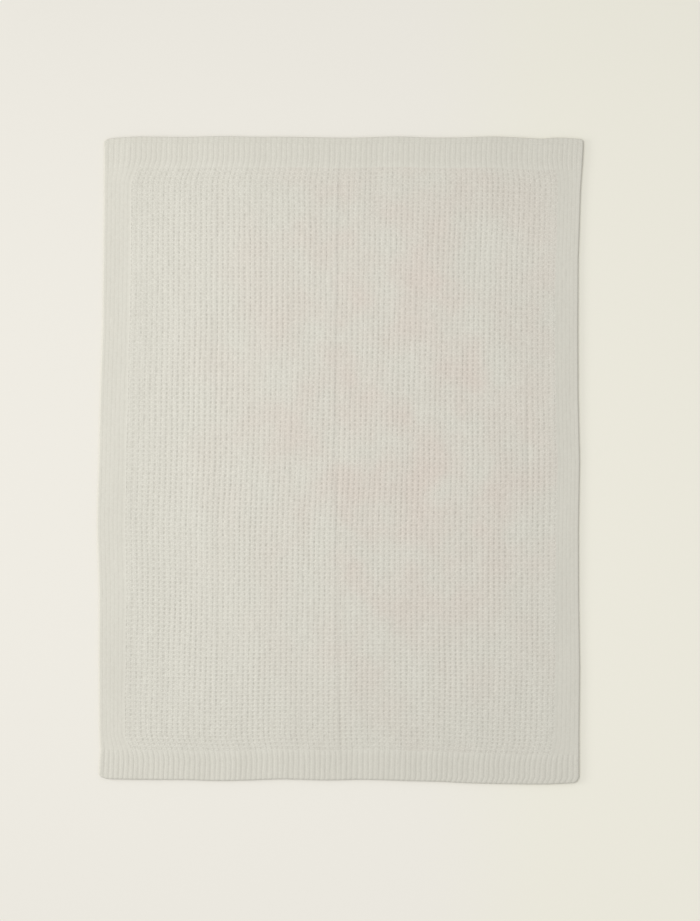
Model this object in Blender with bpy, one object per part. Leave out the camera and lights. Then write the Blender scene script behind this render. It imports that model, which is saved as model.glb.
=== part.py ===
"""A knitted waffle cotton blanket, laid out flat.

One knitted panel lies face up on z = 0. Units are metres, +Z is up, +Y is the top end and the
wales (the lengthwise columns of stitches) run along Y. The panel has a waffle field, a ribbed hem
at each end and a plain border down each side, all in one cloth, so it is one closed solid: a flat
underside, a rounded rim and a top face whose points rise on each wale and sink between two wales.
"""

import math
from typing import NamedTuple

import bmesh
import bpy

MM = 0.001

# Driving dimensions of the panel
WIDTH = 759 * MM
LENGTH = 1019 * MM
LEFT_BORDER = 43 * MM
RIGHT_BORDER = 40 * MM
TOP_HEM = 48 * MM
BOTTOM_HEM = 48 * MM
TOP_BINDING = 9 * MM
BOTTOM_BINDING = 3 * MM
STEP_LENGTH = 4 * MM

# Wales across the panel: the hems spread all of them evenly, the field draws the borders in
LEFT_BORDER_WALES = 7
FIELD_WALES = 79
RIGHT_BORDER_WALES = 6
WALES = LEFT_BORDER_WALES + FIELD_WALES + RIGHT_BORDER_WALES
POINTS_PER_WALE = 2
COLUMNS = WALES * POINTS_PER_WALE
LEFT_COLUMNS = LEFT_BORDER_WALES * POINTS_PER_WALE
RIGHT_COLUMNS = RIGHT_BORDER_WALES * POINTS_PER_WALE
FIELD_ROWS = 9
SPREAD_IN_FIELD = 30 * MM
SPREAD_IN_HEM = 20 * MM

# The rim: the cloth is widest a little above the surface it lies on
RIM_WIDEST_AT = 1.4 * MM
UNDERSIDE_INSET = 0.8 * MM
TOP_INSET = 1.3 * MM
RIM_TOP_SHARE = 0.78

COTTON_COLOUR = (0.66, 0.64, 0.56, 1.0)
COTTON_ROUGHNESS = 0.95


class Relief(NamedTuple):
    """How high the top face stands on a wale and between two wales."""

    crest: float
    valley: float


FIELD = Relief(crest=4.4 * MM, valley=3.1 * MM)
HEM = Relief(crest=4.5 * MM, valley=3.2 * MM)
BORDER = Relief(crest=4.0 * MM, valley=3.7 * MM)
TOP_EDGE_ROLL = Relief(crest=4.1 * MM, valley=4.0 * MM)


class EdgePoint(NamedTuple):
    """A point of an edge: its place along the edge, and how far it stands out of the mean size."""

    along: float
    out: float


LEFT_EDGE = tuple(
    EdgePoint(along * MM, out * MM)
    for along, out in (
        (-510, 3.0),
        (-490, 2.7),
        (-475, 0.6),
        (-462, 0.8),
        (-440, 2.0),
        (-405, 3.0),
        (-330, 3.3),
        (-254, 0.9),
        (-203, 3.7),
        (-127, 6.8),
        (-60, 3.3),
        (0, 3.5),
        (95, 1.8),
        (152, -2.1),
        (253, -2.6),
        (340, -4.1),
        (430, -4.8),
        (510, -4.7),
    )
)

RIGHT_EDGE = tuple(
    EdgePoint(along * MM, out * MM)
    for along, out in (
        (-510, -1.6),
        (-405, -1.8),
        (-279, -0.4),
        (-203, -2.7),
        (-130, -2.9),
        (-76, -2.3),
        (0, -0.8),
        (100, -3.2),
        (177, -3.4),
        (303, -3.8),
        (380, -0.2),
        (430, 0.4),
        (460, 2.6),
        (480, 4.6),
        (510, 5.1),
    )
)

BOTTOM_EDGE = tuple(
    EdgePoint(along * MM, out * MM)
    for along, out in (
        (-380, -4.4),
        (-346, -3.7),
        (-300, -3.1),
        (-245, -2.8),
        (-194, -1.3),
        (-140, -2.3),
        (-93, -3.9),
        (-17, -2.1),
        (34, -3.3),
        (110, -1.1),
        (160, 0.2),
        (211, 2.6),
        (300, 4.2),
        (338, 3.9),
        (380, 1.6),
    )
)

TOP_EDGE = tuple(
    EdgePoint(along * MM, out * MM)
    for along, out in (
        (-380, -1.3),
        (-346, 1.2),
        (-321, 2.2),
        (-254, 1.5),
        (-194, 2.8),
        (-140, 1.9),
        (-93, 1.9),
        (8, 0.4),
        (84, 2.3),
        (135, 0.7),
        (180, 0.8),
        (236, 2.4),
        (280, 0.8),
        (312, -1.0),
        (335, 0.6),
        (352, 0.2),
        (368, -1.0),
        (380, -2.0),
    )
)


class Corner(NamedTuple):
    """A rounded corner: which end and side it is at, how far it runs in along X and drops along Y."""

    end: int
    side: int
    run: float
    drop: float


CORNERS = (
    Corner(end=1, side=-1, run=12 * MM, drop=5 * MM),
    Corner(end=1, side=1, run=4 * MM, drop=2 * MM),
    Corner(end=-1, side=-1, run=20 * MM, drop=6 * MM),
    Corner(end=-1, side=1, run=9 * MM, drop=8 * MM),
)
CORNER_REACH = 60 * MM


class Crease(NamedTuple):
    """A faint fold mark along Y, left as a soft trough."""

    x: float
    from_y: float
    to_y: float
    depth: float
    half_width: float


CREASES = (
    Crease(x=-4 * MM, from_y=-330 * MM, to_y=265 * MM, depth=0.55 * MM, half_width=9 * MM),
    Crease(x=300 * MM, from_y=-60 * MM, to_y=105 * MM, depth=0.4 * MM, half_width=7 * MM),
)
CREASE_FADE = 50 * MM


class Wave(NamedTuple):
    """A long slow wave in the way the cloth lies: its size, its two lengths and its shift."""

    size: float
    length_x: float
    length_y: float
    shift: float

    def at(self, x, y):
        """Return the wave's reach at this place."""
        turn = 2 * math.pi * (x / self.length_x + y / self.length_y)
        return self.size * math.sin(turn + self.shift)


# Long low swells in the height of the cloth, as it lies after unfolding
SWELLS = (
    Wave(0.16 * MM, length_x=410 * MM, length_y=530 * MM, shift=0.6),
    Wave(0.12 * MM, length_x=-230 * MM, length_y=310 * MM, shift=2.1),
)

# Sideways sway of the wales, which dies out in the borders and leaves the outline alone
WALE_SWAYS = (
    Wave(4.5 * MM, length_x=math.inf, length_y=1950 * MM, shift=0.7),
    Wave(2.1 * MM, length_x=-630 * MM, length_y=1080 * MM, shift=6.2),
)
HELD_ACROSS = 0.08


def clear_scene():
    """Remove every object that the scene starts with."""
    for item in list(bpy.data.objects):
        bpy.data.objects.remove(item, do_unlink=True)


def mix(start, end, share):
    """Return the value this share of the way from start to end."""
    return start + (end - start) * share


def smooth_step(low, high, value):
    """Return 0 below low, 1 above high and a smooth rise between them."""
    share = min(max((value - low) / (high - low), 0.0), 1.0)
    return share * share * (3 - 2 * share)


def edge_out(points, along):
    """Read an edge's smooth curve: how far it stands out at this place along it."""
    along = min(max(along, points[0].along), points[-1].along)
    last = len(points) - 1
    here = 0
    while here < last - 1 and points[here + 1].along < along:
        here += 1
    slopes = []
    for at in (here, here + 1):
        before, after = points[max(at - 1, 0)], points[min(at + 1, last)]
        slopes.append((after.out - before.out) / (after.along - before.along))
    start, end = points[here], points[here + 1]
    span = end.along - start.along
    t = (along - start.along) / span
    return (
        (2 * t**3 - 3 * t**2 + 1) * start.out
        + (t**3 - 2 * t**2 + t) * span * slopes[0]
        + (3 * t**2 - 2 * t**3) * end.out
        + (t**3 - t**2) * span * slopes[1]
    )


def corner_drop(x, y):
    """Return how far the corners pull a point towards the middle along Y, as a quarter ellipse."""
    pull = 0.0
    for corner in CORNERS:
        from_side = WIDTH / 2 - corner.side * x
        from_end = LENGTH / 2 - corner.end * y
        if from_side >= corner.run or from_end >= CORNER_REACH:
            continue
        share = 1 - max(from_side, 0.0) / corner.run
        depth = corner.drop * (1 - math.sqrt(1 - share * share))
        pull -= corner.end * depth * (1 - max(from_end, 0.0) / CORNER_REACH)
    return pull


def on_panel(across, along):
    """Place a point of the even rectangle, both shares from 0 to 1, inside the real wavy outline."""
    x = (across - 0.5) * WIDTH
    y = (along - 0.5) * LENGTH
    left = -WIDTH / 2 - edge_out(LEFT_EDGE, y)
    right = WIDTH / 2 + edge_out(RIGHT_EDGE, y)
    bottom = -LENGTH / 2 - edge_out(BOTTOM_EDGE, x)
    top = LENGTH / 2 + edge_out(TOP_EDGE, x)
    return mix(left, right, across), mix(bottom, top, along) + corner_drop(x, y)


def hem_share(y):
    """Return 1 in the hems and 0 in the field, with the short rise between the two."""
    into_top = y - (LENGTH / 2 - TOP_HEM)
    into_bottom = -LENGTH / 2 + BOTTOM_HEM - y
    return smooth_step(-STEP_LENGTH / 2, STEP_LENGTH / 2, max(into_top, into_bottom))


def spread_share(y):
    """Return how far the wales have gone over from the field's spacing to the hems' even one."""
    into_top = y - (LENGTH / 2 - TOP_HEM)
    into_bottom = -LENGTH / 2 + BOTTOM_HEM - y
    return smooth_step(-SPREAD_IN_FIELD, SPREAD_IN_HEM, max(into_top, into_bottom))


def across_of(column, y):
    """Return a column's place across the panel at this height, from 0 at the left to 1."""
    evenly = column / COLUMNS
    left_border, right_border = LEFT_BORDER / WIDTH, RIGHT_BORDER / WIDTH
    if column <= LEFT_COLUMNS:
        drawn_in = left_border * column / LEFT_COLUMNS
    elif column >= COLUMNS - RIGHT_COLUMNS:
        drawn_in = 1 - right_border * (COLUMNS - column) / RIGHT_COLUMNS
    else:
        in_field = (column - LEFT_COLUMNS) / (FIELD_WALES * POINTS_PER_WALE)
        drawn_in = mix(left_border, 1 - right_border, in_field)
    sway = sum(wave.at((evenly - 0.5) * WIDTH, y) for wave in WALE_SWAYS)
    loose = smooth_step(0, HELD_ACROSS, min(evenly, 1 - evenly))
    return mix(drawn_in, evenly, spread_share(y)) + sway / WIDTH * loose


def row_places():
    """List the rows of the top face, as distances from the bottom edge to the top one."""
    half_step = STEP_LENGTH / 2
    half_spread = SPREAD_IN_FIELD / 2
    bottom = [0.0, BOTTOM_BINDING, BOTTOM_HEM / 2, BOTTOM_HEM - half_step, BOTTOM_HEM + half_step]
    bottom += [BOTTOM_HEM + half_spread]
    top = [0.0, TOP_BINDING, TOP_BINDING + STEP_LENGTH, TOP_HEM - half_step, TOP_HEM + half_step]
    top += [TOP_HEM + half_spread]
    first = BOTTOM_HEM + SPREAD_IN_FIELD
    last = LENGTH - TOP_HEM - SPREAD_IN_FIELD
    field = [mix(first, last, row / (FIELD_ROWS - 1)) for row in range(FIELD_ROWS)]
    return bottom + field + [LENGTH - place for place in reversed(top)]


def crease_depth(x, y):
    """Return how deep the fold marks sink at this place."""
    depth = 0.0
    for crease in CREASES:
        beside = max(1 - abs(x - crease.x) / crease.half_width, 0.0)
        from_start = smooth_step(-CREASE_FADE, CREASE_FADE, y - crease.from_y)
        from_end = smooth_step(-CREASE_FADE, CREASE_FADE, crease.to_y - y)
        depth += crease.depth * beside * from_start * from_end
    return depth


def swell_height(x, y):
    """Return the height that the long low swells add at this place."""
    return sum(swell.at(x, y) for swell in SWELLS)


def top_height(column, place):
    """Return a column's height at this distance up the panel: high on a wale, low between two."""
    in_border = column < LEFT_COLUMNS or column > COLUMNS - RIGHT_COLUMNS
    body = BORDER if in_border else FIELD
    hem = hem_share(place - LENGTH / 2)
    from_top = LENGTH - place
    binding = 1 - smooth_step(TOP_BINDING + STEP_LENGTH / 4, TOP_BINDING + STEP_LENGTH, from_top)
    on_wale = column % POINTS_PER_WALE == 1
    if on_wale:
        return mix(mix(body.crest, HEM.crest, hem), TOP_EDGE_ROLL.crest, binding)
    return mix(mix(body.valley, HEM.valley, hem), TOP_EDGE_ROLL.valley, binding)


def shape_top(points, rows):
    """Move a plain grid's points to their places on the top face, rim row and rim columns included."""
    last_row = len(rows) - 1
    for row, place in enumerate(rows):
        for column in range(COLUMNS + 1):
            y = place - LENGTH / 2
            across = across_of(column, y)
            along = place / LENGTH
            on_rim = row in (0, last_row) or column in (0, COLUMNS)
            across = min(max(across, TOP_INSET / WIDTH), 1 - TOP_INSET / WIDTH)
            along = min(max(along, TOP_INSET / LENGTH), 1 - TOP_INSET / LENGTH)
            x, y = on_panel(across, along)
            height = top_height(column, place) + swell_height(x, y) - crease_depth(x, y)
            points[row][column].co = (x, y, height * (RIM_TOP_SHARE if on_rim else 1.0))


def rim_ring(rows, inset):
    """List the places of the rim at this inset, counter-clockwise from the bottom left corner."""
    def place_of(row, column):
        across = across_of(column, rows[row] - LENGTH / 2)
        along = rows[row] / LENGTH
        across = min(max(across, inset / WIDTH), 1 - inset / WIDTH)
        along = min(max(along, inset / LENGTH), 1 - inset / LENGTH)
        return on_panel(across, along)

    last_row = len(rows) - 1
    ring = [place_of(0, column) for column in range(COLUMNS)]
    ring += [place_of(row, COLUMNS) for row in range(last_row)]
    ring += [place_of(last_row, column) for column in range(COLUMNS, 0, -1)]
    ring += [place_of(row, 0) for row in range(last_row, 0, -1)]
    return ring


def add_ring(mesh, above, places, height):
    """Add a ring of points at this height and join it to the ring above it with a band of faces."""
    ring = [mesh.verts.new((x, y, height)) for x, y in places]
    count = len(ring)
    for here in range(count):
        after = (here + 1) % count
        mesh.faces.new((ring[here], ring[after], above[after], above[here]))
    return ring


def close_underside(mesh, ring, row_count):
    """Close the flat underside with one strip for each column, from the bottom edge to the top one."""
    side = row_count - 1
    bottom = ring[: COLUMNS + 1]
    top = ring[COLUMNS + side : 2 * COLUMNS + side + 1][::-1]
    right_side = ring[COLUMNS + 1 : COLUMNS + side]
    left_side = ring[2 * COLUMNS + side + 1 :]
    for column in range(COLUMNS):
        strip = [bottom[column], *(left_side[::-1] if column == 0 else ()), top[column]]
        strip += [top[column + 1], *(right_side[::-1] if column == COLUMNS - 1 else ())]
        strip += [bottom[column + 1]]
        mesh.faces.new(strip)


def centre_on_origin(mesh):
    """Move the panel so that the middle of its bounding box is over the origin."""
    for axis in (0, 1):
        values = [point.co[axis] for point in mesh.verts]
        middle = (min(values) + max(values)) / 2
        for point in mesh.verts:
            point.co[axis] -= middle


def build_panel():
    """Build the panel's closed mesh from a plain grid."""
    rows = row_places()
    mesh = bmesh.new()
    bmesh.ops.create_grid(mesh, x_segments=COLUMNS, y_segments=len(rows) - 1, size=0.5)
    in_order = sorted(mesh.verts, key=lambda point: (round(point.co.y, 5), point.co.x))
    wide = COLUMNS + 1
    points = [in_order[row * wide : (row + 1) * wide] for row in range(len(rows))]
    shape_top(points, rows)

    last_row = len(rows) - 1
    top_ring = points[0][:COLUMNS]
    top_ring += [points[row][COLUMNS] for row in range(last_row)]
    top_ring += [points[last_row][column] for column in range(COLUMNS, 0, -1)]
    top_ring += [points[row][0] for row in range(last_row, 0, -1)]
    widest = add_ring(mesh, top_ring, rim_ring(rows, 0.0), RIM_WIDEST_AT)
    lowest = add_ring(mesh, widest, rim_ring(rows, UNDERSIDE_INSET), 0.0)
    close_underside(mesh, lowest, len(rows))
    centre_on_origin(mesh)
    bmesh.ops.recalc_face_normals(mesh, faces=mesh.faces)
    return mesh


def cotton():
    """Make the pale warm grey cotton of the whole blanket."""
    material = bpy.data.materials.new("cotton")
    material.use_nodes = True
    surface = material.node_tree.nodes["Principled BSDF"]
    surface.inputs["Base Color"].default_value = COTTON_COLOUR
    surface.inputs["Roughness"].default_value = COTTON_ROUGHNESS
    surface.inputs["Metallic"].default_value = 0.0
    return material


def main():
    """Build the blanket as one object."""
    clear_scene()
    panel = build_panel()
    data = bpy.data.meshes.new("blanket")
    panel.to_mesh(data)
    panel.free()
    data.materials.append(cotton())
    blanket = bpy.data.objects.new("blanket", data)
    bpy.context.scene.collection.objects.link(blanket)


main()
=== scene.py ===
"""The looks of a knitted waffle cotton blanket, laid out flat and seen from straight above.

The blanket is one knitted panel. It is built here as lengthwise strips of the same cloth that meet
on the crest of a wale, so that each mesh stays a workable size. Every strip is a closed thin sheet:
a face with its wales, bars and pits, a reverse with its own low ribs, and a rounded rim. Lengths
are metres, +Y runs along the wales to the top end, +Z is up.
"""

import logging
import math
from dataclasses import dataclass, field
from enum import Enum

import bpy
import numpy as np
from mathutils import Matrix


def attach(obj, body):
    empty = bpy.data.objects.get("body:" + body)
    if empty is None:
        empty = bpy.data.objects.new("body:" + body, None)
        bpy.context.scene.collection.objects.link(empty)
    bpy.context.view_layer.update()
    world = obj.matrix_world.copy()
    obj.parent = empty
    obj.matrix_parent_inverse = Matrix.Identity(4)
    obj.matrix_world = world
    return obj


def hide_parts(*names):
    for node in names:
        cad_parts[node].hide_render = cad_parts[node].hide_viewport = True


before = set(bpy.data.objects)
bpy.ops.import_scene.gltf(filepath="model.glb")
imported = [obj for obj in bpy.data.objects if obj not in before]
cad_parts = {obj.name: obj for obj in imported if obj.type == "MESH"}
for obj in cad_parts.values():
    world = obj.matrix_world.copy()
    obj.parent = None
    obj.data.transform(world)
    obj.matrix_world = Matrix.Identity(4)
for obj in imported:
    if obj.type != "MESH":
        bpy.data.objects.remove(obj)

log = logging.getLogger("blanket")

MM = 0.001
BODY = "root"
NODE = "blanket"
IMAGE_WIDTH, IMAGE_HEIGHT = 700, 921

# A wale's crest lies midway between its two valleys, as a share of the wale.
CREST = 0.5
HALF = 0.5
# How near a point is to a line that it lies on, in wales, and the decimals that tell points apart.
ON_LINE = 1e-4
DIGITS = 6

NUMBER, VECTOR = "NodeSocketFloat", "NodeSocketVector"
YARN_INPUTS = ("Stitches per Cell", "Lean", "Leg Width", "Bars", "Shift")
BLUSH_INPUTS = ("Scale", "Middle X", "Middle Y", "Near", "Far")

Array = np.ndarray
Span = tuple[float, float]
Colour = tuple[float, float, float, float]
Socket = bpy.types.NodeSocket
Sockets = bpy.types.bpy_prop_collection
Tree = bpy.types.NodeTree

BLACK: Colour = (0.0, 0.0, 0.0, 1.0)
WHITE: Colour = (1.0, 1.0, 1.0, 1.0)


def mix(start: Array | float, end: Array | float, share: Array | float) -> Array | float:
    """Return the value this share of the way from start to end."""
    return start + (end - start) * share


def smooth_step(low: float, high: float, value: Array) -> Array:
    """Return 0 below low, 1 above high and a smooth rise between them.

    Args:
        low: Where the rise begins.
        high: Where the rise ends.
        value: The places to read.

    Returns:
        The share risen at each place.
    """
    share = np.clip((value - low) / (high - low), 0.0, 1.0)
    return share * share * (3 - 2 * share)


def hump(turns: Array) -> Array:
    """Return a smooth wave that is 0 at whole turns and 1 midway between them."""
    return 0.5 - 0.5 * np.cos(math.tau * turns)


def fetch(items: Sockets, key: str, width: int = 1, kind: type = np.int32) -> Array:
    """Read one property of every item in a collection.

    Args:
        items: The collection.
        key: The property's name.
        width: How many numbers each item holds.
        kind: The type of the numbers.

    Returns:
        A row of numbers for each item, or one number each.
    """
    values = np.empty(len(items) * width, kind)
    items.foreach_get(key, values)
    return values.reshape(-1, width) if width > 1 else values


class Zone(Enum):
    """The kinds of knitting in the panel, in the order of their material slots."""

    WAFFLE = 0
    HEM = 1
    BORDER = 2
    BOUND_EDGE = 3
    REVERSE = 4


@dataclass(frozen=True)
class PanelSizes:
    """The panel as its maker measures it: lengths in metres, widths counted in wales."""

    width: float = 759 * MM
    length: float = 1019 * MM
    left_border: float = 43 * MM
    right_border: float = 40 * MM
    hem: float = 48 * MM
    bound_edge: float = 9 * MM
    left_border_wales: int = 7
    field_wales: int = 79
    right_border_wales: int = 6
    field_cells: int = 135
    spread_in_field: float = 30 * MM
    spread_in_hem: float = 20 * MM
    end_tightness: float = 0.045

    @property
    def wales(self) -> int:
        """Count the wales from side to side."""
        return self.left_border_wales + self.field_wales + self.right_border_wales

    @property
    def field_length(self) -> float:
        """Return the length of the waffle field between the two hems."""
        return self.length - 2 * self.hem

    @property
    def cell(self) -> float:
        """Return the mean length of a waffle cell along a wale."""
        return self.field_length / self.field_cells

    @property
    def hem_cells(self) -> float:
        """Return a hem's depth, counted in cells."""
        return self.hem / self.cell

    def inside_borders(self, u: Array) -> Array:
        """Return how many wales a place lies inside the waffle field, negative in the borders."""
        return np.minimum(u - self.left_border_wales, self.wales - self.right_border_wales - u)


@dataclass(frozen=True)
class Relief:
    """Heights of the face: on a wale, in the valley between two wales, and at a pit's bottom.

    The shoulders say where the valley and the pit begin, as a share of the way from a wale's crest
    to the middle of the valley. A relief with bars stands highest on them, between two pits.
    """

    crest: float
    valley: float
    pit: float
    dome: float = 0.15 * MM
    shoulder: float = 0.3
    pit_shoulder: float = 0.5
    bars: bool = False


@dataclass(frozen=True)
class Crease:
    """A faint fold mark along Y, left as a soft trough that bows a little sideways."""

    x: float
    from_y: float
    to_y: float
    depth: float
    half_width: float
    bow: float = 0.0
    fade: float = 50 * MM
    steepness: float = 1.6

    def share(self, x: Array, y: Array) -> Array:
        """Return how deep in the trough a place lies.

        Args:
            x: Places across the panel.
            y: Places along it.

        Returns:
            1 at the bottom of the trough and 0 beside and beyond it.
        """
        middle, half = (self.from_y + self.to_y) / 2, (self.to_y - self.from_y) / 2
        bottom = self.x + self.bow * ((y - middle) / half) ** 2
        beside = np.exp(-((self.steepness * (x - bottom) / self.half_width) ** 2))
        start = smooth_step(-self.fade, self.fade, y - self.from_y)
        return beside * start * smooth_step(-self.fade, self.fade, self.to_y - y)


@dataclass(frozen=True)
class Wave:
    """A long slow wave in the way the cloth lies: its size, its two lengths and its shift."""

    size: float
    length_x: float
    length_y: float
    shift: float

    def at(self, x: Array, y: Array) -> Array:
        """Return the wave's reach at each place."""
        turns = x / self.length_x + y / self.length_y
        return self.size * np.sin(math.tau * turns + self.shift)


@dataclass
class PanelOutline:
    """The wavy outline of the panel, read from the widest ring of the solid's rim."""

    sizes: PanelSizes
    ring_height: float = 1.4 * MM
    height_slack: float = 0.05 * MM
    corner_run: float = 20 * MM
    corner_reach: float = 60 * MM
    rounds: int = 3
    left: Array = field(init=False)
    right: Array = field(init=False)
    bottom: Array = field(init=False)
    top: Array = field(init=False)

    def __post_init__(self) -> None:
        """Sort the ring's points into the four edges, which part where each corner is roundest."""
        places = fetch(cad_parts[NODE].data.vertices, "co", 3, float)
        ring = places[np.abs(places[:, 2] - self.ring_height) < self.height_slack][:, :2]
        ring = np.unique(np.round(ring, DIGITS), axis=0)
        past_side, past_end = np.empty(len(ring)), np.empty(len(ring))
        for signs in ((-1, -1), (-1, 1), (1, -1), (1, 1)):
            quarter = np.all(np.sign(ring) == signs, axis=1)
            outwards = ring[quarter] * signs
            corner = outwards[np.argmax(outwards.sum(axis=1))]
            past_side[quarter], past_end[quarter] = (outwards - corner).T
        on_side, on_end = past_side >= past_end, past_end >= past_side
        self.left = self._along(ring[on_side & (ring[:, 0] < 0)], 1)
        self.right = self._along(ring[on_side & (ring[:, 0] > 0)], 1)
        self.bottom = self._along(ring[on_end & (ring[:, 1] < 0)], 0)
        self.top = self._along(ring[on_end & (ring[:, 1] > 0)], 0)

    @staticmethod
    def _along(points: Array, axis: int) -> Array:
        """Return an edge's points in order along an axis, as rows of place and reach."""
        ordered = points[np.argsort(points[:, axis])]
        return np.stack([ordered[:, axis], ordered[:, 1 - axis]])

    def _end(self, edge: Array, x: Array, from_end: Array) -> Array:
        """Read a top or bottom edge, with its rounded corners felt only near that end.

        Args:
            edge: The edge's points, as rows of place and reach.
            x: The places along the edge.
            from_end: How far each point is from that end of the panel.

        Returns:
            The edge's y for each point.
        """
        inner = np.clip(x, edge[0, 0] + self.corner_run, edge[0, -1] - self.corner_run)
        straight = np.interp(inner, *edge)
        corner = np.interp(x, *edge) - straight
        return straight + corner * np.clip(1 - from_end / self.corner_reach, 0, 1)

    def place(self, across: Array, along: Array) -> tuple[Array, Array]:
        """Place points of an even rectangle inside the wavy outline.

        Args:
            across: Shares of the width from the left, 0 to 1.
            along: Shares of the length from the bottom, 0 to 1.

        Returns:
            The x and y of each point.
        """
        x = (across - HALF) * self.sizes.width
        y = (along - HALF) * self.sizes.length
        for _ in range(self.rounds):
            x = mix(np.interp(y, *self.left), np.interp(y, *self.right), across)
            bottom = self._end(self.bottom, x, along * self.sizes.length)
            top = self._end(self.top, x, (1 - along) * self.sizes.length)
            y = mix(bottom, top, along)
        return x, y


@dataclass
class HandOfTheKnit:
    """The small irregularities of a real knit, drawn once from a seeded generator."""

    sizes: PanelSizes
    seed: int = 41
    spare: int = 12
    pit_spread: float = 0.22
    pit_range: Span = (0.1, 1.7)
    patch_spread: float = 0.17
    patch_cells: int = 13
    patch_wales: int = 4
    furrow_spread: float = 0.18
    furrow_cells: int = 15
    furrow_range: Span = (0.3, 1.7)
    crest_spread: float = 0.10 * MM
    lean_spread: float = 0.5 * MM
    smoothing: int = 9
    tight_wales: float = 12.0
    tight_cells: float = 20.0
    tight_corner: float = 0.6
    tight_edge: float = 0.66
    fade_in: Span = (-0.5, 3.0)
    first_pits: float = 0.3
    pits: Array = field(init=False)
    crests: Array = field(init=False)
    leans: Array = field(init=False)
    furrows: Array = field(init=False)

    def __post_init__(self) -> None:
        """Draw a number for every cell of every wale."""
        draw = np.random.default_rng(self.seed)
        shape = (self.sizes.field_cells + 2 * self.spare, self.sizes.wales + 2)
        pits = 1 + self.pit_spread * draw.standard_normal(shape)
        self.crests = self.crest_spread * draw.standard_normal(shape)
        self.leans = self.lean_spread * self._smoothed(draw.standard_normal(shape), self.smoothing, 0)
        patches = self._smoothed(draw.standard_normal(shape), self.patch_cells, 0)
        pits += self.patch_spread * self._smoothed(patches, self.patch_wales, 1)
        row, column = np.indices(shape, dtype=float)
        cell = row - self.spare
        side = smooth_step(*self.fade_in, self.sizes.inside_borders(column))
        end = smooth_step(*self.fade_in, np.minimum(cell, self.sizes.field_cells - cell))
        self.pits = np.clip(pits, *self.pit_range) * self.openness(column, cell)
        self.pits *= mix(self.first_pits, 1.0, side * end)
        furrows = self._smoothed(draw.standard_normal(shape), self.furrow_cells, 0)
        self.furrows = np.clip(1 + self.furrow_spread * furrows, *self.furrow_range)

    @staticmethod
    def _smoothed(table: Array, count: int, axis: int) -> Array:
        """Average neighbours along an axis, keeping the spread of the numbers."""
        window = np.ones(count) / math.sqrt(count)
        return np.apply_along_axis(np.convolve, axis, table, window, "same")

    def openness(self, u: Array, v: Array) -> Array:
        """Return how far the pits open: less at the left and the ends, least at the top left.

        Args:
            u: Places in wales.
            v: Places in cells.

        Returns:
            Shares of the usual opening, up to 1.
        """
        from_top = np.maximum(self.sizes.field_cells - v, 0) / self.tight_cells
        from_bottom = np.maximum(v, 0) / self.tight_cells
        from_left = np.maximum(u - self.sizes.left_border_wales, 0) / self.tight_wales
        corner = smooth_step(0, 1, np.hypot(from_top, from_left))
        edge = smooth_step(0, 1, np.minimum(np.minimum(from_top, from_bottom), from_left))
        return mix(self.tight_corner, 1.0, corner) * mix(self.tight_edge, 1.0, edge)

    def _read(self, table: Array, wale: Array, cell: Array) -> Array:
        """Read a table at whole wales and between two cells along them.

        Args:
            table: A number for each cell, by row and column.
            wale: The wales to read.
            cell: The places along them, in cells.

        Returns:
            The number at each place.
        """
        column = np.clip(wale, 0, table.shape[1] - 1).astype(int)
        row = np.clip(cell + self.spare, 0, table.shape[0] - 2)
        below = row.astype(int)
        return mix(table[below, column], table[below + 1, column], row - below)

    def pit_depth(self, u: Array, v: Array) -> Array:
        """Return how deep each pit is, as a share of the usual depth."""
        return self._read(self.pits, np.rint(u), np.floor(v))

    def furrow_depth(self, u: Array, v: Array) -> Array:
        """Return how deep the furrow beside a rib is, as a share of the usual depth."""
        return self._read(self.furrows, np.rint(u), v)

    def crest_height(self, u: Array, v: Array) -> Array:
        """Return how far each stitch of a wale stands above or below the usual crest."""
        return self._read(self.crests, np.floor(u), v - HALF)

    def sideways(self, u: Array, v: Array) -> Array:
        """Return how far each wale strays sideways, smoothly from one wale to the next.

        Args:
            u: Places in wales.
            v: Places in cells.

        Returns:
            Distances, to the right where positive.
        """
        low = np.floor(u - CREST)
        near, far = self._read(self.leans, low, v), self._read(self.leans, low + 1, v)
        return mix(near, far, smooth_step(0, 1, u - CREST - low))


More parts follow.
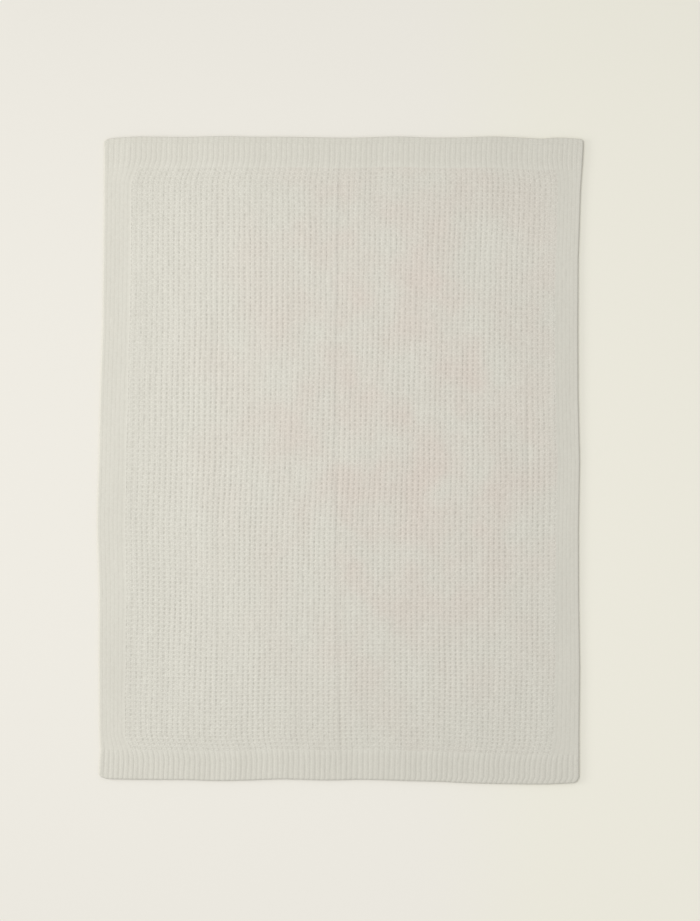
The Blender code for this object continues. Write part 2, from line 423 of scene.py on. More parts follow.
@dataclass
class KnitSurface:
    """The panel's face and reverse as heights over the wales and cells of the knit.

    A place on the cloth is given by u, counted in wales from the left side, and v, counted in
    waffle cells from the start of the field, so v is negative in the bottom hem.
    """

    sizes: PanelSizes
    outline: PanelOutline
    hand: HandOfTheKnit
    waffle: Relief = Relief(
        crest=4.5 * MM, valley=4.5 * MM, pit=3.7 * MM, dome=0.1 * MM, pit_shoulder=0.26, bars=True
    )
    top_hem: Relief = Relief(crest=4.5 * MM, valley=4.32 * MM, pit=4.32 * MM, shoulder=0.1)
    low_hem: Relief = Relief(crest=4.5 * MM, valley=4.18 * MM, pit=4.18 * MM, shoulder=0.1)
    border: Relief = Relief(
        crest=4.1 * MM, valley=4.06 * MM, pit=4.03 * MM, dome=0.06 * MM, shoulder=0.1
    )
    pit_sharpness: float = 1.7
    bar_rise: float = 0.12 * MM
    low_bar_rise: float = 0.3 * MM
    bars_even_out: Span = (0.15, 0.6)
    hem_start: Span = (-0.1, 0.35)
    border_start: Span = (-0.6, -0.12)
    bound_start: Span = (-0.5 * MM, 2 * MM)
    bound_height: float = 4.2 * MM
    bound_ridges: int = 3
    bound_ridge_depth: float = 0.35 * MM
    reverse_furrow: float = 0.44
    reverse_valley: float = 0.8 * MM
    reverse_pit: float = 0.45 * MM
    reverse_plain: float = 0.6
    rim_radius: float = 1.8 * MM
    rim_middle: float = 0.45
    plain_crests: float = 0.5
    # How much darker the knit is drawn: the hems, borders, bound-off strip and closing pits, plus painted
    # shade on the rim and in the creases.
    hem_tone: float = 0.26
    hem_tone_start: Span = (-2.0, 2.0)
    border_tone: float = 0.2
    bound_tone: float = 0.2
    # Painted shade on the rounded rim, where the cloth curves down to the floor.
    rim_painted_shade: float = 0.2
    close_tone: float = 0.2
    creases: tuple[Crease, ...] = (
        Crease(x=-5 * MM, from_y=-455 * MM, to_y=465 * MM, depth=0.55 * MM, half_width=6 * MM, bow=7 * MM),
        Crease(x=297 * MM, from_y=-50 * MM, to_y=115 * MM, depth=0.5 * MM, half_width=6 * MM),
        Crease(x=-195 * MM, from_y=-380 * MM, to_y=450 * MM, depth=0.2 * MM, half_width=6 * MM, bow=4 * MM),
        Crease(x=-76 * MM, from_y=-100 * MM, to_y=330 * MM, depth=0.15 * MM, half_width=5 * MM),
    )
    # Painted shade in the crease troughs.
    crease_painted_shade: float = 0.09
    swells: tuple[Wave, ...] = (
        Wave(0.16 * MM, length_x=410 * MM, length_y=530 * MM, shift=0.6),
        Wave(0.12 * MM, length_x=-230 * MM, length_y=310 * MM, shift=2.1),
    )
    wale_sways: tuple[Wave, ...] = (
        Wave(4.5 * MM, length_x=math.inf, length_y=1950 * MM, shift=0.7),
        Wave(2.1 * MM, length_x=-630 * MM, length_y=1080 * MM, shift=6.2),
    )
    row_sways: tuple[Wave, ...] = (
        Wave(3.7 * MM, length_x=2300 * MM, length_y=math.inf, shift=3.7),
        Wave(3.0 * MM, length_x=830 * MM, length_y=-950 * MM, shift=3.8),
    )
    held_across: float = 0.08
    held_along: float = 0.10

    def distance(self, v: Array) -> Array:
        """Return how far up the panel a row lies, with the cells a little tighter near the hems.

        Args:
            v: Places in cells.

        Returns:
            Distances from the bottom edge.
        """
        sizes = self.sizes
        share = np.clip(v / sizes.field_cells, 0, 1)
        in_field = share - sizes.end_tightness * np.sin(math.tau * share) / math.tau
        beyond = v - share * sizes.field_cells
        return sizes.hem + in_field * sizes.field_length + beyond * sizes.cell

    def beyond_field(self, v: Array) -> Array:
        """Return how many cells a row lies outside the waffle field, negative inside it."""
        return np.maximum(-v, v - self.sizes.field_cells)

    def hem_share(self, v: Array) -> Array:
        """Return 1 in the hems and 0 in the field, with the short rise between the two."""
        return smooth_step(*self.hem_start, self.beyond_field(v))

    def border_share(self, u: Array) -> Array:
        """Return 1 in the plain side borders and 0 in the field."""
        return 1 - smooth_step(*self.border_start, self.sizes.inside_borders(u))

    def bound_share(self, v: Array) -> Array:
        """Return 1 on the bound-off strip along the top edge."""
        below_strip = self.sizes.length - self.distance(v) - self.sizes.bound_edge
        return 1 - smooth_step(*self.bound_start, below_strip)

    def plain_share(self, u: Array, v: Array) -> Array:
        """Return 1 in the hems and the borders, which have no pits, and 0 in the field."""
        return np.maximum(self.hem_share(v), self.border_share(u))

    def across(self, u: Array, v: Array) -> Array:
        """Return the share of the width at which a wale lies in a row.

        Args:
            u: Places in wales.
            v: Places in cells.

        Returns:
            Shares from 0 at the left side to 1 at the right one.
        """
        sizes = self.sizes
        evenly = u / sizes.wales
        knots = [0, sizes.left_border_wales, sizes.wales - sizes.right_border_wales, sizes.wales]
        borders = sizes.left_border / sizes.width, sizes.right_border / sizes.width
        drawn_in = np.interp(u, knots, [0, borders[0], 1 - borders[1], 1])
        into_hem = self.beyond_field(v) * sizes.cell
        spread = smooth_step(-sizes.spread_in_field, sizes.spread_in_hem, into_hem)
        x, y = (evenly - HALF) * sizes.width, self.distance(v) - sizes.length / 2
        sway = sum(wave.at(x, y) for wave in self.wale_sways)
        loose = smooth_step(0, self.held_across, np.minimum(evenly, 1 - evenly))
        return mix(drawn_in, evenly, spread) + (sway + self.hand.sideways(u, v)) * loose / sizes.width

    def profile(self, relief: Relief, u: Array, v: Array) -> Array:
        """Return one zone's height over a wale and a cell.

        Args:
            relief: The zone's heights.
            u: Places in wales.
            v: Places in cells.

        Returns:
            The height of the face above the surface it lies on.
        """
        from_crest = 2 * np.abs(u - np.floor(u) - CREST)
        fall = smooth_step(relief.shoulder, 1.0, from_crest)
        height = relief.crest - relief.dome * from_crest**2
        height -= (relief.crest - relief.dome - relief.valley) * fall * self.hand.furrow_depth(u, v)
        off_bar = hump(v)
        if relief.bars:
            up_field = smooth_step(*self.bars_even_out, v / self.sizes.field_cells)
            height -= mix(self.low_bar_rise, self.bar_rise, up_field) * off_bar
        hole = smooth_step(relief.pit_shoulder, 1.0, from_crest) * off_bar**self.pit_sharpness
        return height - (relief.valley - relief.pit) * hole * self.hand.pit_depth(u, v)

    def face_height(self, u: Array, v: Array) -> Array:
        """Work out the face, zone by zone, before its rim and unevenness.

        Args:
            u: Places in wales.
            v: Places in cells.

        Returns:
            The height of the face above the surface it lies on.
        """
        waffle, border = self.profile(self.waffle, u, v), self.profile(self.border, u, v)
        field_height = mix(waffle, border, self.border_share(u))
        low, top = self.profile(self.low_hem, u, v), self.profile(self.top_hem, u, v)
        hem_height = np.where(v < self.sizes.field_cells / 2, low, top)
        height = mix(field_height, hem_height, self.hem_share(v))
        spread = mix(1.0, self.plain_crests, self.plain_share(u, v))
        height = height + self.hand.crest_height(u, v) * spread
        from_top = self.sizes.length - self.distance(v)
        ridge = hump(self.bound_ridges * from_top / self.sizes.bound_edge)
        bound = self.bound_height - self.bound_ridge_depth * (1 - ridge)
        return mix(height, bound, self.bound_share(v))

    def reverse_height(self, u: Array, v: Array) -> Array:
        """Work out the reverse, whose ribs lie under the valleys of the face.

        Args:
            u: Places in wales.
            v: Places in cells.

        Returns:
            The height of the reverse above the surface it lies on.
        """
        under_crest = smooth_step(0, self.reverse_furrow, np.abs(u - np.rint(u)))
        plain = self.plain_share(u, v)
        pits = self.reverse_pit * (1 - hump(v)) * (1 - plain)
        return under_crest * (self.reverse_valley * mix(1.0, self.reverse_plain, plain) + pits)

    def tone(self, u: Array, v: Array, places: Array) -> Array:
        """Return how much darker the knit is drawn: in the hems, the borders, the bound-off strip and where
        the pits close up, with painted shade on the rounded rim and in the crease troughs.

        Args:
            u: Places in wales, by row and column.
            v: Places in cells, by row and column.
            places: The same places in the row frame.

        Returns:
            The tone of each place, 0 on the open knit.
        """
        hem = self.hem_tone * smooth_step(*self.hem_tone_start, self.beyond_field(v))
        border = self.border_tone * self.border_share(u)
        close = self.close_tone * (1 - self.hand.openness(u, v))
        tone = np.maximum(np.maximum(hem, border), close)
        tone = mix(tone, self.bound_tone, self.bound_share(v))
        rim = self.rim_share(np.clip(self.across(u, v), 0, 1), self.distance(v))
        # Painted shade on the rounded rim, where the cloth curves down to the floor.
        tone = tone + self.rim_painted_shade * (1 - rim)
        x, y = places[..., 0], places[..., 1]
        # Painted shade in the crease troughs, darkest where a trough is deepest.
        troughs = sum(crease.depth * crease.share(x, y) for crease in self.creases)
        deepest = max(crease.depth for crease in self.creases)
        return tone + self.crease_painted_shade * troughs / deepest

    def rim_share(self, across: Array, distance: Array) -> Array:
        """Work out the half round rim of the cloth.

        Args:
            across: Shares of the width from the left, 0 to 1.
            distance: Distances from the bottom edge.

        Returns:
            The share of its thickness that the cloth has at each place.
        """
        share = np.ones(np.broadcast(across, distance).shape)
        width, length = self.sizes.width, self.sizes.length
        for inwards in (across * width, (1 - across) * width, distance, length - distance):
            left = np.clip(1 - inwards / self.rim_radius, 0, 1)
            share = share * np.sqrt(1 - left**2)
        return share

    def places(self, u: Array, v: Array, on_face: Array) -> tuple[Array, Array]:
        """Place points of the cloth in the row frame.

        Args:
            u: Places in wales, by row and column.
            v: Places in cells, by row and column.
            on_face: True for the columns on the face, False for those on the reverse.

        Returns:
            The points, by row and column, and how deep each lies below the crests, 0 to 1.
        """
        across = np.clip(self.across(u, v), 0, 1)
        distance = self.distance(v)
        along = distance / self.sizes.length
        x, y = self.outline.place(across, along)
        loose = smooth_step(0, self.held_along, np.minimum(along, 1 - along))
        y = y + sum(wave.at(x, y) for wave in self.row_sways) * loose
        face = self.face_height(u, v)
        depth = np.clip((self.waffle.crest - face) / (self.waffle.crest - self.waffle.pit), 0, 1)
        face += sum(swell.at(x, y) for swell in self.swells)
        face -= sum(crease.depth * crease.share(x, y) for crease in self.creases)
        height = np.where(on_face, face, self.reverse_height(u, v))
        height = mix(self.rim_middle * self.waffle.crest, height, self.rim_share(across, distance))
        return np.stack([x, y, height], axis=-1), np.where(on_face, depth, 0.0)


@dataclass
class ClothStrip:
    """A lengthwise strip of the panel, from one wale to another, closed all round."""

    name: str
    surface: KnitSurface
    first: float
    last: float
    face_steps: tuple[float, ...] = (0.0, 0.14, 0.28, 0.5, 0.72, 0.86)
    reverse_steps: tuple[float, ...] = (0.0, 0.5)
    rows_per_cell: int = 4
    hem_rows_per_cell: int = 2
    rim_steps: tuple[float, ...] = (0.0, 0.06, 0.25, 0.6)
    beside_cut: float = 0.06
    hem_gap: float = 0.2
    edge_gap: float = 0.4
    lines_per_ridge: int = 4
    merge_distance: float = 0.03 * MM
    border_line: float = -0.3

    @property
    def cuts(self) -> list[float]:
        """List the ends that meet another strip, which lie on the crest of a wale."""
        return [place for place in (self.first, self.last) if place % 1 == CREST]

    def _lines_across(self, steps: tuple[float, ...]) -> Array:
        """List the places of the lengthwise lines.

        Args:
            steps: Where they lie within each wale, as shares of it.

        Returns:
            The places in wales, ends and rims included.
        """
        sizes = self.surface.sizes
        lines = (np.arange(sizes.wales)[:, None] + np.array(steps)).ravel()
        rim = np.array(self.rim_steps) * self.surface.rim_radius
        left = rim * sizes.left_border_wales / sizes.left_border
        right = sizes.wales - rim * sizes.right_border_wales / sizes.right_border
        lines = lines[(lines > left.max()) & (lines < right.min())]
        lines = np.concatenate([left, lines, right])
        for cut in self.cuts:
            lines = np.append(lines, [cut - self.beside_cut, cut, cut + self.beside_cut])
        return np.unique(lines[(lines >= self.first) & (lines <= self.last)])

    def _lines_along(self) -> Array:
        """List the places of the crosswise lines.

        Returns:
            The places in cells, from the bottom edge to the top one.
        """
        sizes = self.surface.sizes
        field_lines = np.arange(sizes.field_cells * self.rows_per_cell + 1) / self.rows_per_cell
        rim = np.array(self.rim_steps) * self.surface.rim_radius / sizes.cell
        hem_count = math.floor(sizes.hem_cells * self.hem_rows_per_cell)
        hem_lines = np.arange(1, hem_count + 1) / self.hem_rows_per_cell
        hem_lines = hem_lines[hem_lines < sizes.hem_cells - self.edge_gap]
        edge = sizes.hem_cells - rim
        count = self.lines_per_ridge * self.surface.bound_ridges
        bound = sizes.hem_cells - np.arange(1, count + 1) / count * sizes.bound_edge / sizes.cell
        top = np.concatenate([hem_lines[hem_lines < bound.min() - self.hem_gap], bound, edge])
        low = np.concatenate([hem_lines, edge])
        lines = np.concatenate([-low, field_lines, sizes.field_cells + top])
        lines = np.append(lines, [-self.hem_gap, sizes.field_cells + self.hem_gap])
        return np.unique(np.round(lines, DIGITS))

    def build(self) -> bpy.types.Object:
        """Roll a grid into the strip, draw its two ends together and shade it smooth.

        Returns:
            The strip as an object at the origin, with its place in its mesh.
        """
        face = self._lines_across(self.face_steps)
        reverse = self._lines_across(self.reverse_steps)[::-1]
        around = np.concatenate([face, reverse, face[:1]])
        on_face = np.concatenate([face >= 0, reverse < 0, [True]])
        u, v = np.meshgrid(around, self._lines_along())
        for end in (0, -1):
            u[end] = np.rint(u[end] / CREST) * CREST
        places, depth = self.surface.places(u, v, on_face)
        bpy.ops.object.select_all(action="DESELECT")
        bpy.ops.mesh.primitive_grid_add(
            x_subdivisions=len(around) - 1, y_subdivisions=len(v) - 1, size=1.0, calc_uvs=False
        )
        cloth = bpy.context.object
        data = cloth.data
        cloth.name = data.name = self.name
        data.vertices.foreach_set("co", places.astype(np.float32).ravel())
        knit = np.stack([u, v, np.broadcast_to(on_face, u.shape)], -1)
        data.attributes.new("knit", "FLOAT_VECTOR", "POINT")
        data.attributes["knit"].data.foreach_set("vector", knit.astype(np.float32).ravel())
        # The depth and the tone carry the painted shade that the materials draw.
        for name, values in (("depth", depth), ("tone", self.surface.tone(u, v, places))):
            layer = data.attributes.new(name, "FLOAT", "POINT")
            layer.data.foreach_set("value", values.astype(np.float32).ravel())
        self._close()
        self._sharpen(data)
        self._sort_zones(data)
        return cloth

    def _close(self) -> None:
        """Merge the rolled grid's seam and the points that meet along its rim."""
        bpy.ops.object.mode_set(mode="EDIT")
        bpy.ops.mesh.select_all(action="SELECT")
        bpy.ops.mesh.remove_doubles(threshold=self.merge_distance)
        bpy.ops.mesh.normals_make_consistent(inside=False)
        bpy.ops.object.mode_set(mode="OBJECT")
        bpy.ops.object.shade_smooth()

    def _sharpen(self, data: bpy.types.Mesh) -> None:
        """Keep the hidden walls where two strips meet out of the smooth shading.

        Args:
            data: The strip's mesh.
        """
        u = fetch(data.attributes["knit"].data, "vector", 3, np.float32)[:, 0]
        ends = fetch(data.edges, "vertices", 2)
        sharp = np.zeros(len(ends), bool)
        for cut in self.cuts:
            on_cut = np.abs(u - cut) < ON_LINE
            sharp |= on_cut[ends[:, 0]] & on_cut[ends[:, 1]]
        layers = data.attributes
        layer = layers.get("sharp_edge") or layers.new("sharp_edge", "BOOLEAN", "EDGE")
        layer.data.foreach_set("value", sharp)

    def _sort_zones(self, data: bpy.types.Mesh) -> None:
        """Give every face the material slot of the zone that its middle lies in.

        Args:
            data: The strip's mesh.
        """
        knit = fetch(data.attributes["knit"].data, "vector", 3, np.float32)
        start, total = fetch(data.polygons, "loop_start"), fetch(data.polygons, "loop_total")
        sums = np.add.reduceat(knit[fetch(data.loops, "vertex_index")], start, axis=0)
        u, v, side = (sums / total[:, None]).T
        zone = np.full(len(start), Zone.WAFFLE.value)
        zone[self.surface.sizes.inside_borders(u) < self.border_line] = Zone.BORDER.value
        zone[self.surface.beyond_field(v) > 0] = Zone.HEM.value
        zone[self.surface.bound_share(v) > HALF] = Zone.BOUND_EDGE.value
        zone[side < HALF] = Zone.REVERSE.value
        data.polygons.foreach_set("material_index", zone.astype(np.int32))


@dataclass
class Nodes:
    """A small writer of shader nodes for one node tree."""

    tree: Tree

    def add(self, kind: str, **settings: object) -> bpy.types.Node:
        """Add a node.

        Args:
            kind: Blender's name of the kind of node.
            **settings: Its properties by name.

        Returns:
            The new node.
        """
        node = self.tree.nodes.new(kind)
        for key, value in settings.items():
            setattr(node, key, value)
        return node

    def feed(self, node: bpy.types.Node, inputs: dict[str | int, object]) -> Sockets:
        """Feed the inputs of a node.

        Args:
            node: The node.
            inputs: A socket to read from or a plain value, by the input's name or number.

        Returns:
            The node's outputs.
        """
        for key, source in inputs.items():
            if isinstance(source, Socket):
                self.tree.links.new(source, node.inputs[key])
            else:
                node.inputs[key].default_value = source
        return node.outputs

    def effect(self, group: Tree, inputs: dict[str, object]) -> Sockets:
        """Place a shared effect with its own values and return its outputs."""
        return self.feed(self.add("ShaderNodeGroup", node_tree=group), inputs)

    def attribute(self, name: str) -> Sockets:
        """Read a value that the mesh keeps at its points."""
        return self.add("ShaderNodeAttribute", attribute_name=name).outputs

    def spot(self) -> Socket:
        """Return each point's place in the object's own coordinates."""
        return self.add("ShaderNodeTexCoord").outputs["Object"]

    def split(self, vector: Socket) -> Sockets:
        """Part a vector into its X, Y and Z."""
        return self.feed(self.add("ShaderNodeSeparateXYZ"), {0: vector})

    def math(self, operation: str, *values: object, clamp: bool = False) -> Socket:
        """Work out a number.

        Args:
            operation: Blender's name of the operation.
            *values: Numbers or sockets for its inputs, in order.
            clamp: Whether the result is held between 0 and 1.

        Returns:
            The result.
        """
        node = self.add("ShaderNodeMath", operation=operation, use_clamp=clamp)
        return self.feed(node, dict(enumerate(values)))[0]

    def times(self, first: Socket, second: object) -> Socket:
        """Multiply two numbers."""
        return self.math("MULTIPLY", first, second)

    def rest(self, share: Socket) -> Socket:
        """Return what a share leaves of 1."""
        return self.math("SUBTRACT", 1.0, share)

    def lift(self, share: Socket, low: float) -> Socket:
        """Return a number that rises from low to 1 as a share rises from 0 to 1."""
        return self.math("MULTIPLY_ADD", share, 1 - low, low)

    def ramp(self, value: Socket, low: object, high: object) -> Socket:
        """Return 0 below low, 1 above high and a smooth rise between them."""
        node = self.add("ShaderNodeMapRange", interpolation_type="SMOOTHSTEP")
        return self.feed(node, {"Value": value, "From Min": low, "From Max": high})["Result"]

    def blend(self, share: Socket, start: object, end: object, how: str = "MIX") -> Socket:
        """Mix two colours by a share, from the first to the second."""
        node = self.add("ShaderNodeMix", data_type="RGBA", blend_type=how)
        return self.feed(node, {0: share, 6: start, 7: end})[2]

    def noise(
        self, scale: object, layers: float, roughness: float = 0.5, place: Socket | None = None
    ) -> Socket:
        """Add 3-D noise.

        Args:
            scale: The noise's scale, as a number or a socket.
            layers: How many finer layers it has.
            roughness: How strong the finer layers are.
            place: The place to read, if not the object's own.

        Returns:
            The noise, about 0 to 1.
        """
        inputs = {"Scale": scale, "Detail": layers, "Roughness": roughness}
        inputs["Vector"] = place or self.spot()
        return self.feed(self.add("ShaderNodeTexNoise"), inputs)["Fac"]

    def bump(self, reach: float, height: Socket, normal: Socket | None = None) -> Socket:
        """Raise the surface as seen in its shading.

        Args:
            reach: How far a height of 1 stands up.
            height: The heights, 0 to 1.
            normal: The normal of a coarser relief below this one, if any.

        Returns:
            The normal of the raised surface.
        """
        inputs = {"Strength": 1.0, "Distance": reach, "Height": height}
        if normal is not None:
            inputs["Normal"] = normal
        return self.feed(self.add("ShaderNodeBump"), inputs)["Normal"]


def new_group(
    name: str, inputs: dict[str, str], outputs: tuple[str, ...]
) -> tuple[Nodes, Sockets, bpy.types.Node]:
    """Start a shader node group.

    Args:
        name: The group's name.
        inputs: Socket types by input name.
        outputs: The names of its outputs, all of them numbers.

    Returns:
        The writer of its nodes, its inputs by name and its output node.
    """
    group = bpy.data.node_groups.new(name, "ShaderNodeTree")
    for title, kind in inputs.items():
        group.interface.new_socket(title, in_out="INPUT", socket_type=kind)
    for title in outputs:
        group.interface.new_socket(title, in_out="OUTPUT", socket_type=NUMBER)
    nodes = Nodes(group)
    return nodes, nodes.add("NodeGroupInput").outputs, nodes.add("NodeGroupOutput")


@dataclass(frozen=True)
class KnitStitches:
    """The yarn of the knit: the two legs of a stitch, which lean apart on every wale."""

    roundness: float = 0.6
    leg_edge: Span = (-0.08, 0.05)
    groove_width: float = 0.07
    groove_height: float = 0.7
    bar_edge: Span = (0.3, 0.85)
    bar_height: float = 0.8
    gap_edge: Span = (0.05, 0.45)

    def group(self) -> Tree:
        """Make the effect.

        Returns:
            A group that puts out the yarn's height and masks of the gaps between yarns and of the pits.
        """
        inputs = {"Knit": VECTOR, **dict.fromkeys(YARN_INPUTS, NUMBER)}
        nodes, given, result = new_group("knit_stitches", inputs, ("Height", "Gap", "Pit"))
        knit = nodes.split(given["Knit"])
        wale = nodes.math("FRACT", nodes.math("ADD", knit["X"], given["Shift"]))
        beside = nodes.math("ABSOLUTE", nodes.math("SUBTRACT", wale, CREST))

        rise = nodes.times(nodes.math("MINIMUM", beside, given["Leg Width"]), given["Lean"])
        stitch = nodes.times(knit["Y"], given["Stitches per Cell"])
        turn = nodes.math("FRACT", nodes.math("SUBTRACT", stitch, rise))
        strand = nodes.math("POWER", nodes.math("SINE", nodes.times(turn, math.pi)), self.roundness)
        off_leg = nodes.ramp(nodes.math("SUBTRACT", beside, given["Leg Width"]), *self.leg_edge)
        middle = nodes.lift(nodes.ramp(beside, 0.0, self.groove_width), self.groove_height)
        leg = nodes.times(nodes.times(strand, nodes.rest(off_leg)), middle)

        off_bar = nodes.math("ABSOLUTE", nodes.math("SINE", nodes.times(knit["Y"], math.pi)))
        on_bar = nodes.times(nodes.rest(nodes.ramp(off_bar, *self.bar_edge)), given["Bars"])
        bar = nodes.times(on_bar, off_leg)
        height = nodes.math("MAXIMUM", leg, nodes.times(bar, self.bar_height))
        gap = nodes.rest(nodes.ramp(height, *self.gap_edge))
        pit = nodes.times(off_leg, nodes.rest(on_bar))
        nodes.feed(result, {"Height": height, "Gap": gap, "Pit": pit})
        return nodes.tree


@dataclass(frozen=True)
class CottonFuzz:
    """The short fibres that stand off the yarn, fine and coarse."""

    fine_layers: float = 3.0
    fine_roughness: float = 0.65
    coarse_scale: float = 0.42
    coarse_layers: float = 2.0
    tone_edge: Span = (0.3, 0.7)

    def group(self) -> Tree:
        """Make the effect.

        Returns:
            A group that puts out the fibres' height and a light and dark tone, both 0 to 1.
        """
        nodes, given, result = new_group("cotton_fuzz", {"Scale": NUMBER}, ("Height", "Tone"))
        fine = nodes.noise(given["Scale"], self.fine_layers, self.fine_roughness)
        coarse = nodes.noise(nodes.times(given["Scale"], self.coarse_scale), self.coarse_layers)
        height = nodes.times(nodes.math("ADD", fine, coarse), 0.5)
        nodes.feed(result, {"Height": height, "Tone": nodes.ramp(coarse, *self.tone_edge)})
        return nodes.tree


@dataclass(frozen=True)
class ToneDrift:
    """The slow drift of tone over a washed cotton cloth, drawn out along the wales."""

    layers: float = 2.0
    edge: Span = (0.3, 0.7)

    def group(self) -> Tree:
        """Make the effect.

        Returns:
            A group that puts out the drift, 0 to 1.
        """
        nodes, given, result = new_group("tone_drift", {"Scale": NUMBER, "Along": NUMBER}, ("Drift",))
        stretch = nodes.feed(nodes.add("ShaderNodeCombineXYZ"), {0: 1.0, 1: given["Along"], 2: 1.0})
        product = nodes.add("ShaderNodeVectorMath", operation="MULTIPLY")
        place = nodes.feed(product, {0: nodes.spot(), 1: stretch[0]})[0]
        noise = nodes.noise(given["Scale"], self.layers, place=place)
        nodes.feed(result, {"Drift": nodes.ramp(noise, *self.edge)})
        return nodes.tree


@dataclass(frozen=True)
class Blush:
    """The faint warm patches of the undyed cotton, which gather right of the middle."""

    layers: float = 2.0
    edge: Span = (0.3, 0.74)
    flatness: float = 0.6

    def group(self) -> Tree:
        """Make the effect.

        Returns:
            A group that puts out how warm each place is, 0 to 1.
        """
        nodes, given, result = new_group("blush", dict.fromkeys(BLUSH_INPUTS, NUMBER), ("Warmth",))
        spot = nodes.split(nodes.spot())
        beside = nodes.math("SUBTRACT", spot["X"], given["Middle X"])
        above = nodes.times(nodes.math("SUBTRACT", spot["Y"], given["Middle Y"]), self.flatness)
        reach = nodes.math("MULTIPLY_ADD", beside, beside, nodes.times(above, above))
        away = nodes.ramp(nodes.math("SQRT", reach), given["Near"], given["Far"])
        patches = nodes.ramp(nodes.noise(given["Scale"], self.layers), *self.edge)
        nodes.feed(result, {"Warmth": nodes.times(nodes.rest(away), patches)})
        return nodes.tree


@dataclass(frozen=True)
class CottonFinish:
    """The finish of one zone of the knit: the same cotton, knitted in its own way."""

    name: str
    light: Colour = (0.667, 0.651, 0.577, 1.0)
    deep: Colour = (0.477, 0.458, 0.396, 1.0)
    stitches_per_cell: float = 2.0
    lean: float = 1.6
    leg_width: float = 0.34
    bars: float = 0.0
    shift: float = 0.0
    yarn_relief: float = 0.32 * MM
    fuzz_relief: float = 0.10 * MM
    fuzz_scale: float = 900.0
    # Painted shade: how much the gaps between yarns and the deep places of the face are darkened.
    gap_painted_shade: float = 0.33
    closed_gap: float = 0.5
    depth_painted_shade: float = 0.37
    beside_pit: float = 0.25
    speckle: float = 0.28
    drift: float = 0.08
    drift_scale: float = 34.0
    drift_along: float = 0.22
    blush: float = 0.0
    blush_colour: Colour = (1.0, 0.935, 0.935, 1.0)
    blush_scale: float = 11.0
    blush_middle: Span = (0.1, 0.1)
    blush_reach: Span = (0.08, 0.45)
    roughness: Span = (0.86, 0.10)
    specular: float = 0.25
    sheen: float = 0.15
    sheen_roughness: float = 0.6

    def make(self, groups: dict[str, Tree]) -> bpy.types.Material:
        """Make the zone's material.

        Args:
            groups: The shared effects by name.

        Returns:
            A material that follows the knit's own coordinates.
        """
        material = bpy.data.materials.new(self.name)
        material.use_nodes = True
        nodes = Nodes(material.node_tree)
        knit, depth, tone = (nodes.attribute(name) for name in ("knit", "depth", "tone"))
        values = (self.stitches_per_cell, self.lean, self.leg_width, self.bars, self.shift)
        yarn = {"Knit": knit["Vector"], **dict(zip(YARN_INPUTS, values))}
        stitches = nodes.effect(groups["knit_stitches"], yarn)
        fuzz = nodes.effect(groups["cotton_fuzz"], {"Scale": self.fuzz_scale})
        slow = {"Scale": self.drift_scale, "Along": self.drift_along}
        drift = nodes.effect(groups["tone_drift"], slow)

        # Painted shade in the gaps between yarns, stronger where the face lies deep.
        gap = nodes.times(stitches["Gap"], self.gap_painted_shade)
        gap = nodes.times(gap, nodes.lift(depth["Fac"], self.closed_gap))
        # Painted shade: the deeper the face lies below the waffle's crests, the darker, most of all in the
        # pits.
        painted_sunk_shade = nodes.times(depth["Fac"], self.depth_painted_shade)
        painted_sunk_shade = nodes.times(painted_sunk_shade, nodes.lift(stitches["Pit"], self.beside_pit))
        # The tone attribute adds the darker hems, borders and bound-off strip, and painted shade on the rim
        # and in the creases.
        shade = nodes.math("ADD", nodes.math("MAXIMUM", gap, painted_sunk_shade), tone["Fac"])
        shade = nodes.math("MULTIPLY_ADD", fuzz["Tone"], self.speckle, shade)
        shade = nodes.math("MULTIPLY_ADD", drift["Drift"], self.drift, shade, clamp=True)
        cotton = nodes.blend(shade, self.light, self.deep)

        patches = dict(zip(BLUSH_INPUTS, (self.blush_scale, *self.blush_middle, *self.blush_reach)))
        warmth = nodes.times(nodes.effect(groups["blush"], patches)["Warmth"], self.blush)

        normal = nodes.bump(self.yarn_relief, stitches["Height"])
        surface = {
            "Base Color": nodes.blend(warmth, cotton, self.blush_colour, "MULTIPLY"),
            "Roughness": nodes.math("MULTIPLY_ADD", fuzz["Tone"], self.roughness[1], self.roughness[0]),
            "Specular IOR Level": self.specular,
            "Sheen Weight": self.sheen,
            "Sheen Roughness": self.sheen_roughness,
            "Normal": nodes.bump(self.fuzz_relief, fuzz["Height"], normal),
        }
        nodes.feed(material.node_tree.nodes["Principled BSDF"], surface)
        return material


FINISHES: dict[Zone, CottonFinish] = {
    Zone.WAFFLE: CottonFinish("waffle_cotton", bars=1.0, blush=1.0),
    Zone.HEM: CottonFinish(
        "rib_cotton", yarn_relief=0.2 * MM, gap_painted_shade=0.08, depth_painted_shade=0.22, speckle=0.14
    ),
    Zone.BORDER: CottonFinish(
        "border_cotton", yarn_relief=0.09 * MM, gap_painted_shade=0.04, depth_painted_shade=0.2, speckle=0.12
    ),
    Zone.BOUND_EDGE: CottonFinish(
        "bound_edge_cotton", yarn_relief=0.15 * MM, gap_painted_shade=0.1, speckle=0.14
    ),
    Zone.REVERSE: CottonFinish("reverse_cotton", bars=0.6, shift=0.5),
}


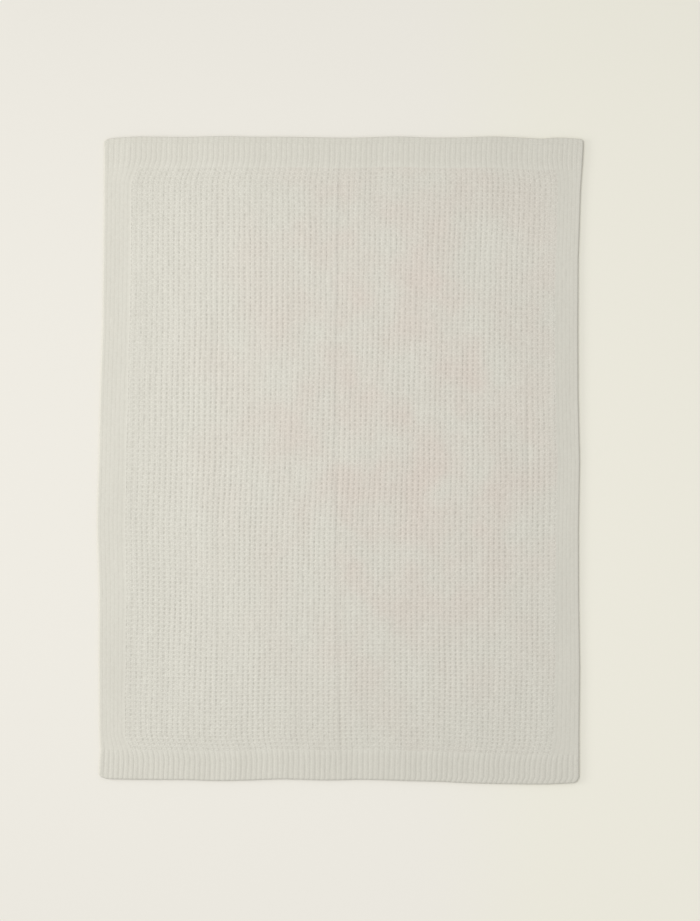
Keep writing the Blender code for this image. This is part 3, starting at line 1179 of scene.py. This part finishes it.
@dataclass
class Blanket:
    """The whole blanket: its panel, cut into strips only to keep each mesh a workable size."""

    sizes: PanelSizes = field(default_factory=PanelSizes)
    cuts: tuple[float, ...] = (0.0, 18.5, 36.5, 55.5, 73.5, 92.0)
    names: tuple[str, ...] = ("left", "inner_left", "middle", "inner_right", "right")

    def build(self) -> None:
        """Build, dress and attach every strip, from left to right."""
        outline = PanelOutline(self.sizes)
        surface = KnitSurface(self.sizes, outline, HandOfTheKnit(self.sizes))
        groups = {
            "knit_stitches": KnitStitches().group(),
            "cotton_fuzz": CottonFuzz().group(),
            "tone_drift": ToneDrift().group(),
            "blush": Blush().group(),
        }
        materials = [FINISHES[zone].make(groups) for zone in Zone]
        middle_row = np.array(float(self.sizes.field_cells // 2))
        for name, first, last in zip(self.names, self.cuts, self.cuts[1:]):
            cloth = ClothStrip(f"knit_{name}", surface, first, last).build()
            for material in materials:
                cloth.data.materials.append(material)
            width = float(surface.across(np.array(last), middle_row))
            width -= float(surface.across(np.array(first), middle_row))
            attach(cloth, BODY)
            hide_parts(NODE)
            log.info("%s: %d faces", cloth.name, len(cloth.data.polygons))


@dataclass(frozen=True)
class SoftBox:
    """A large soft light, aimed at the middle of the cloth."""

    name: str
    place: tuple[float, float, float]
    size: Span
    power: float

    def build(self) -> None:
        """Add the light."""
        bpy.ops.object.light_add(type="AREA", location=self.place)
        light = bpy.context.object
        light.name = light.data.name = self.name
        light.data.shape = "RECTANGLE"
        light.data.size, light.data.size_y = self.size
        light.data.energy = self.power
        light.rotation_euler = (-light.location).to_track_quat("-Z", "Y").to_euler()


@dataclass
class Studio:
    """A pale floor with painted light graded across it, soft light from the left and a camera straight
    above.
    """

    boxes: tuple[SoftBox, ...] = (
        SoftBox("overhead", place=(-1.25, 0.45, 3.0), size=(1.3, 2.0), power=44),
        SoftBox("side", place=(-3.2, 0.2, 1.02), size=(1.6, 0.8), power=40),
    )
    surround: float = 0.655
    scale: float = 1.5826 * MM
    origin_px: Span = (340.2, 460.27)
    camera_height: float = 3.0
    cloth_top: float = 4.4 * MM
    sensor: float = 36.0
    floor_size: float = 40.0
    floor_drop: float = 0.2 * MM
    floor_left: Colour = (0.86, 0.833, 0.763, 1.0)
    floor_right: Colour = (0.86, 0.838, 0.739, 1.0)
    floor_turn: Span = (0.1, 0.35)
    # Painted light on the floor: its colour grows lighter across x and darker along y.
    floor_painted_light_slope: Span = (0.115, -0.045)
    floor_share: float = 0.889
    floor_darkest: float = 0.8
    floor_roughness: float = 0.9
    floor_specular: float = 0.1

    def build(self) -> None:
        """Add the floor, the lights, the world and the camera."""
        self._floor()
        self._lights()
        self._camera()

    def _floor(self) -> None:
        """Add the floor just under the cloth."""
        bpy.ops.object.select_all(action="DESELECT")
        bpy.ops.mesh.primitive_plane_add(size=self.floor_size, location=(0, 0, -self.floor_drop))
        floor = bpy.context.object
        floor.name = "floor"
        material = bpy.data.materials.new("pale_floor")
        material.use_nodes = True
        nodes = Nodes(material.node_tree)
        spot = nodes.split(nodes.spot())
        # Painted light and shade: the floor's colour is graded lighter to the right and darker towards the
        # top, held between its darkest share and 1.
        share = nodes.math("MULTIPLY_ADD", spot["X"], self.floor_painted_light_slope[0], self.floor_share)
        share = nodes.math("MULTIPLY_ADD", spot["Y"], self.floor_painted_light_slope[1], share)
        share = nodes.math("MINIMUM", nodes.math("MAXIMUM", share, self.floor_darkest), 1.0)
        colour = nodes.blend(nodes.ramp(spot["X"], *self.floor_turn), self.floor_left, self.floor_right)
        surface = {
            "Base Color": nodes.blend(share, BLACK, colour),
            "Roughness": self.floor_roughness,
            "Specular IOR Level": self.floor_specular,
        }
        nodes.feed(material.node_tree.nodes["Principled BSDF"], surface)
        floor.data.materials.append(material)

    def _lights(self) -> None:
        """Add the soft boxes and an even pale surround."""
        for box in self.boxes:
            box.build()
        world = bpy.data.worlds.new("surround")
        bpy.context.scene.world = world
        world.use_nodes = True
        back = world.node_tree.nodes["Background"]
        back.inputs["Color"].default_value = WHITE
        back.inputs["Strength"].default_value = self.surround

    def _camera(self) -> None:
        """Look straight down, framed as the photograph is."""
        centre_x = (IMAGE_WIDTH / 2 - self.origin_px[0]) * self.scale
        centre_y = (self.origin_px[1] - IMAGE_HEIGHT / 2) * self.scale
        height = self.cloth_top + self.camera_height
        bpy.ops.object.camera_add(location=(centre_x, centre_y, height), rotation=(0, 0, 0))
        camera = bpy.context.object
        camera.name = "camera"
        camera.data.sensor_width = self.sensor
        camera.data.lens = self.sensor * self.camera_height / (IMAGE_HEIGHT * self.scale)
        bpy.context.scene.camera = camera


def main() -> None:
    """Build the studio and the blanket."""
    logging.basicConfig(level=logging.INFO, format="%(name)s: %(message)s")
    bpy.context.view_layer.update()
    bpy.context.scene.view_settings.view_transform = "Standard"
    Studio().build()
    Blanket().build()


if __name__ == "__main__":
    main()
